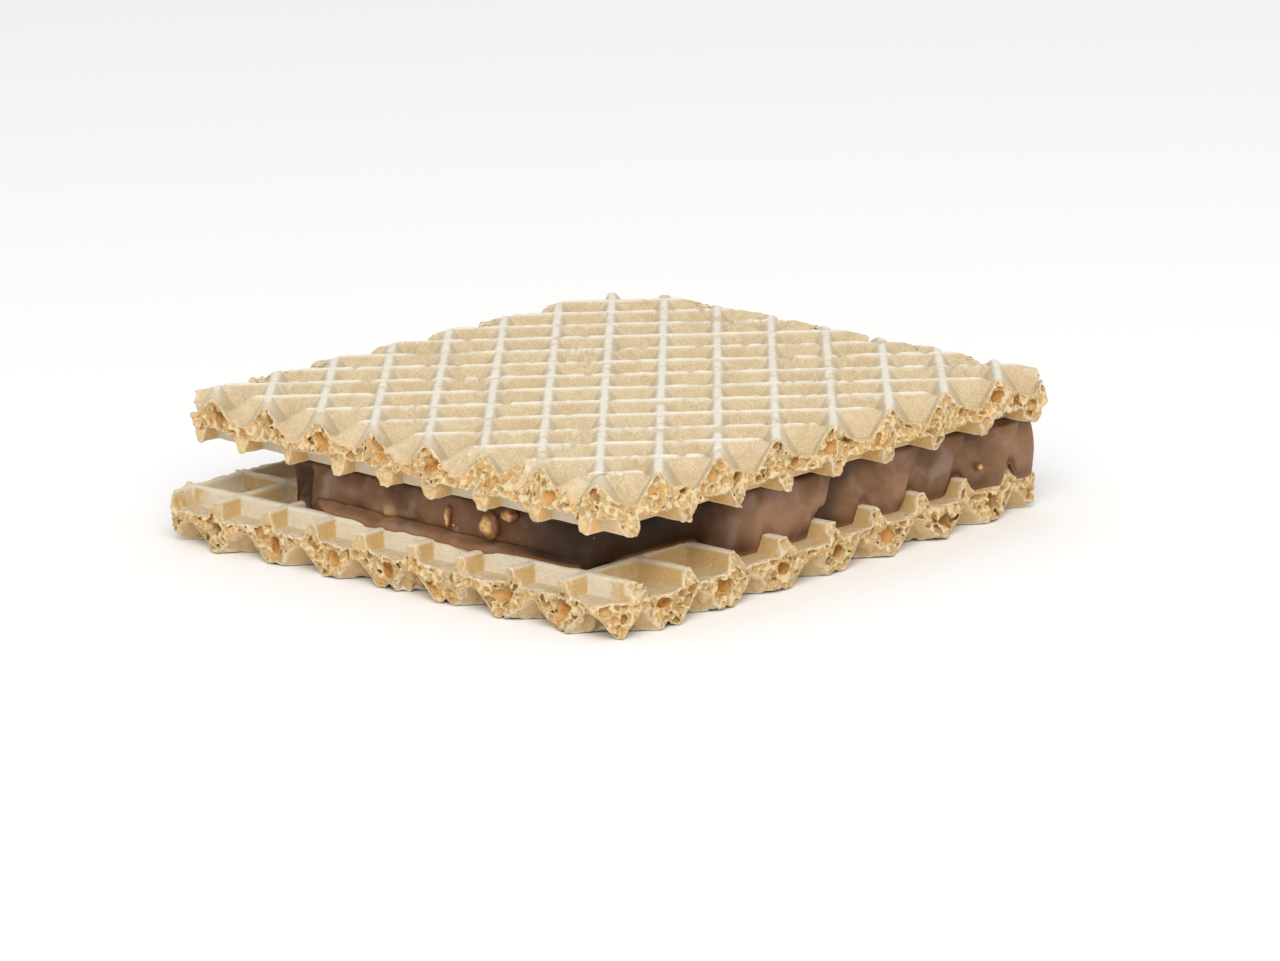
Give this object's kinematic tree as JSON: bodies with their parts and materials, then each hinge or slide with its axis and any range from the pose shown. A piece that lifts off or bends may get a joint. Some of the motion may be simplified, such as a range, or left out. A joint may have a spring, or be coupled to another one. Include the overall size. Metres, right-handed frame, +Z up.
{
  "type": "wafer sandwich biscuit",
  "caption": "Square biscuit of crisp lattice wafers round a slab of chocolate with chopped nuts, broken at its rim; it lies flat and is eaten whole.",
  "frame": {"origin": "middle of the biscuit's footprint, on the surface that its lower wafer lies on", "axes": "+Z up through the wafers and the filling; the sides of the upper wafer run along X and Y, and the front corner of the picture is at +X -Y"},
  "size_m": [0.0568, 0.0568, 0.0132],
  "materials": {
    "baked_wafer": "dry, porous baked crust, pale on its ridges and golden in its bubbles",
    "chocolate_filling": "satin brown chocolate cream with golden nut pieces"
  },
  "bodies": {
    "root": {"wafer_bottom": "baked_wafer", "filling": "chocolate_filling", "wafer_top": "baked_wafer"}
  },
  "joints": []
}
